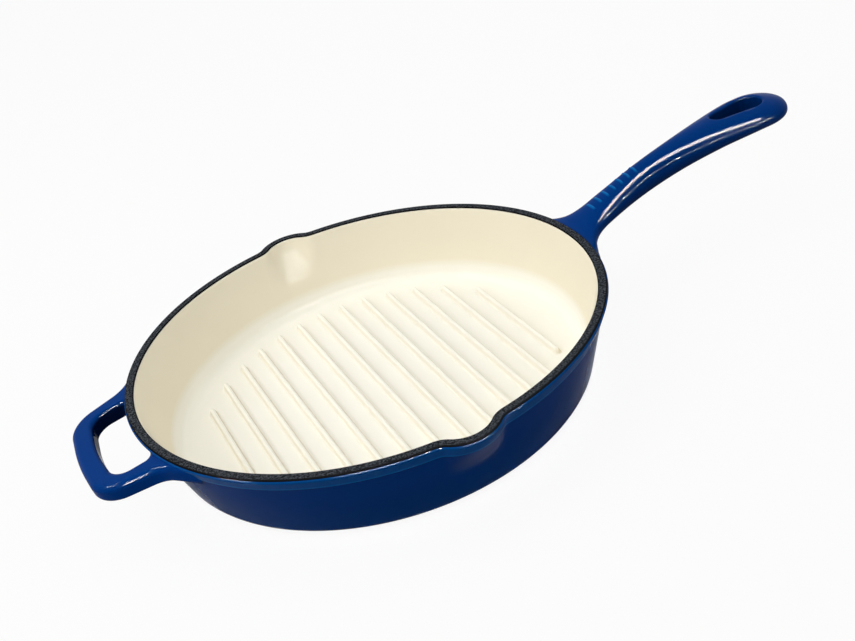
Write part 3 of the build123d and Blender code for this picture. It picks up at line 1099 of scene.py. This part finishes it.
class GRILL_OT_studio(bpy.types.Operator):
    """Add the floor, the lights and the camera"""

    bl_idname = "grill.add_studio"
    bl_label = "Studio"

    def execute(self, context):
        scene = context.scene
        scene.view_settings.view_transform = "Standard"
        self.add_floor()
        self.set_world(scene)
        self.add_lights()
        self.add_camera(scene, scene.grill_studio)
        return {"FINISHED"}

    def add_floor(self):
        """A wide white floor, just under the base so that the two don't meet."""
        half_size, gap = 3.0, 0.05 * MM
        line = (-half_size, 0, half_size)
        bm = bmesh.new()
        add_skin(bm, [[bm.verts.new((x, y, 0.0)) for y in line] for x in line])
        floor = new_object("floor", finished_mesh("floor", bm))
        floor.data.materials.append(finish_for(white_paper_sweep))
        floor.location.z = -gap

    def set_world(self, scene):
        """White to the camera and in reflections, and a plain level of light on the pan."""
        to_pan, to_eye = 0.55, 1.0
        world = bpy.data.worlds.new("studio")
        world.use_nodes = True
        tree = world.node_tree
        tree.nodes.clear()
        seen = seen_rays(tree)[1]
        white = linear("#ffffff")
        light, background = (
            add_node(tree, "ShaderNodeBackground", {"Color": white, "Strength": strength})
            for strength in (to_pan, to_eye)
        )
        mix = add_node(
            tree,
            "ShaderNodeMixShader",
            {0: seen, 1: light.outputs["Background"], 2: background.outputs["Background"]},
        )
        add_node(tree, "ShaderNodeOutputWorld", {"Surface": mix.outputs["Shader"]})
        scene.world = world

    def add_lights(self):
        """Lamps over the pan and on its left, and bright cards that only its gloss shows."""
        aim_at = Vector((0.03, 0, 0.03))
        # Each has a name, a place, a width and a height in metres, and a power in watts.
        lamps = (
            ("overhead_lamp", (0.0, 0.2, 1.1), (0.9, 0.9), 2.6),
            ("left_lamp", (-0.8, 0.0, 0.8), (0.8, 0.8), 4.8),
        )
        cards = (
            ("left_card", (-0.68, 0.25, 0.88), (0.22, 0.3), 130),
            ("front_card", (0.02, -0.78, 0.84), (1.5, 0.44), 1150),
            ("front_low_card", (0.35, -1.0, 0.02), (1.0, 0.025), 220),
        )
        for name, place, size, power in lamps + cards:
            data = bpy.data.lights.new(name, "AREA")
            data.shape = "RECTANGLE"
            data.size, data.size_y = size
            data.energy = power
            lamp = new_object(name, data)
            lamp.location = place
            aim = aim_at - Vector(place)
            lamp.rotation_euler = aim.to_track_quat("-Z", "Y").to_euler()
            lamp.visible_glossy = name.endswith("_card")
            lamp.visible_diffuse = not lamp.visible_glossy

    def add_camera(self, scene, studio):
        """The photograph's camera, from the way it looks and the point that it looks at."""
        ahead = Vector(
            (
                math.sin(studio.azimuth) * math.cos(studio.elevation),
                math.cos(studio.azimuth) * math.cos(studio.elevation),
                -math.sin(studio.elevation),
            )
        )
        right = ahead.cross(Vector((0, 0, 1))).normalized()
        up = right.cross(ahead)
        turn = Matrix((right, up, -ahead)).transposed() @ Matrix.Rotation(studio.roll, 3, "Z")
        data = bpy.data.cameras.new("camera")
        data.sensor_width = 36
        data.lens = studio.lens
        camera = new_object("camera", data)
        place = Vector(studio.target) - ahead * studio.distance
        camera.matrix_world = Matrix.Translation(place) @ turn.to_4x4()
        scene.camera = camera


class GRILL_PT_panel(bpy.types.Panel):
    """Lists the pan's settings and the buttons that add its pieces"""

    bl_idname = "GRILL_PT_panel"
    bl_label = "Grill Pan"
    bl_space_type = "VIEW_3D"
    bl_region_type = "UI"
    bl_category = "Grill Pan"

    def draw(self, context):
        layout = self.layout
        for operator in OPERATORS:
            layout.operator(operator.bl_idname)
        for group in SETTINGS:
            box = layout.box()
            settings = getattr(context.scene, group)
            for name in settings.__annotations__:
                box.prop(settings, name)


SETTINGS = {
    "grill_bowl": BowlSettings,
    "grill_handle": HandleSettings,
    "grill_helper": HelperSettings,
    "grill_finish": FinishSettings,
    "grill_studio": StudioSettings,
}
OPERATORS = (
    GRILL_OT_outside,
    GRILL_OT_inside,
    GRILL_OT_rim,
    GRILL_OT_ribs,
    GRILL_OT_long_handle,
    GRILL_OT_helper_handle,
    GRILL_OT_studio,
)


def register():
    """Registers the settings, the operators and the panel."""
    for cls in (*SETTINGS.values(), *OPERATORS, GRILL_PT_panel):
        bpy.utils.register_class(cls)
    for name, group in SETTINGS.items():
        setattr(bpy.types.Scene, name, PointerProperty(type=group))


def unregister():
    """Takes the panel, the operators and the settings away again."""
    for name in SETTINGS:
        delattr(bpy.types.Scene, name)
    for cls in (GRILL_PT_panel, *reversed(OPERATORS), *reversed(SETTINGS.values())):
        bpy.utils.unregister_class(cls)


def main():
    """Adds every piece."""
    register()
    bpy.ops.grill.add_outside()
    bpy.ops.grill.add_inside()
    bpy.ops.grill.add_rim()
    bpy.ops.grill.add_ribs()
    bpy.ops.grill.add_long_handle()
    bpy.ops.grill.add_helper_handle()
    bpy.ops.grill.add_studio()
    bpy.context.view_layer.update()


if __name__ == "__main__":
    main()
